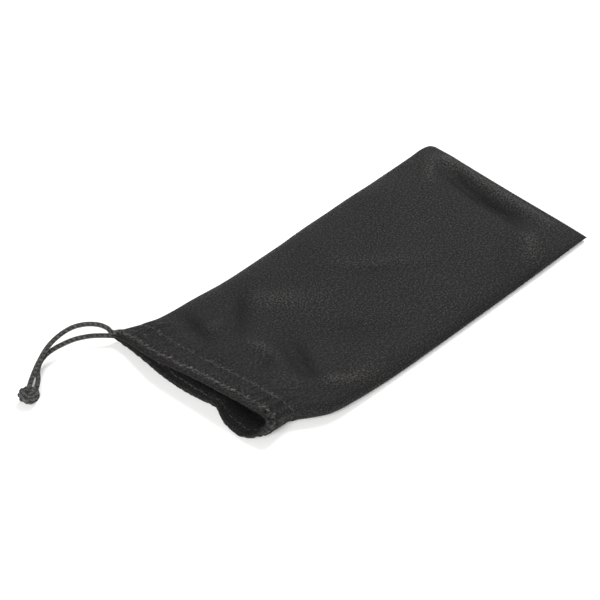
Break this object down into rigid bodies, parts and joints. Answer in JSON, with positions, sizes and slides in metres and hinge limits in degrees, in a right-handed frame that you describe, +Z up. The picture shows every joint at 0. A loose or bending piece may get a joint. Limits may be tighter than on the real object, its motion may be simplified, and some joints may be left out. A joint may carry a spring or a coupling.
{
  "type": "drawstring glasses pouch",
  "caption": "Soft flat microfibre pouch for glasses, lying on its back, with a turned-in hem at the open mouth and a braided drawstring that leaves the hem at one side and ends in a knot.",
  "frame": {"origin": "on the resting surface, under the middle of the pouch's cloth (the free cord left out)", "axes": "+Y along the pouch from the open mouth to the closed end, +X across it from the seamed side, where the cord leaves, to the folded side, +Z up"},
  "size_m": [0.1105, 0.2372, 0.0147],
  "materials": {
    "cloth": "brushed black microfibre knit, matt with a faint sheen",
    "thread": "black polyester sewing thread",
    "cord": "round braided charcoal cord"
  },
  "bodies": {
    "pouch": {"front_panel": "cloth", "back_panel": "cloth", "front_casing": "cloth", "back_casing": "cloth", "bottom_seam_allowance": "cloth", "side_seam_allowance": "cloth", "bottom_overlock_thread": "thread", "side_overlock_thread": "thread", "front_lip_stitching": "thread", "front_channel_stitching": "thread", "back_lip_stitching": "thread", "back_channel_stitching": "thread"},
    "drawstring": {"drawstring_channel_run": "cord"},
    "free_loop": {"drawstring_strand_upper": "cord", "drawstring_strand_lower": "cord", "end_knot": "cord"}
  },
  "joints": [
    {"name": "drawstring_pull", "type": "slide", "parent": "pouch", "child": "drawstring", "axis": [-1, 0, 0], "range_m": [0, 0.06], "deforming": ["front_casing", "back_casing", "front_lip_stitching", "front_channel_stitching", "back_lip_stitching", "back_channel_stitching"]},
    {"name": "loop_swing", "type": "hinge", "parent": "drawstring", "child": "free_loop", "pos_m": [-0.05, -0.093, 0.005], "axis": [0, 0, 1], "range_deg": [-80, 60]}
  ]
}
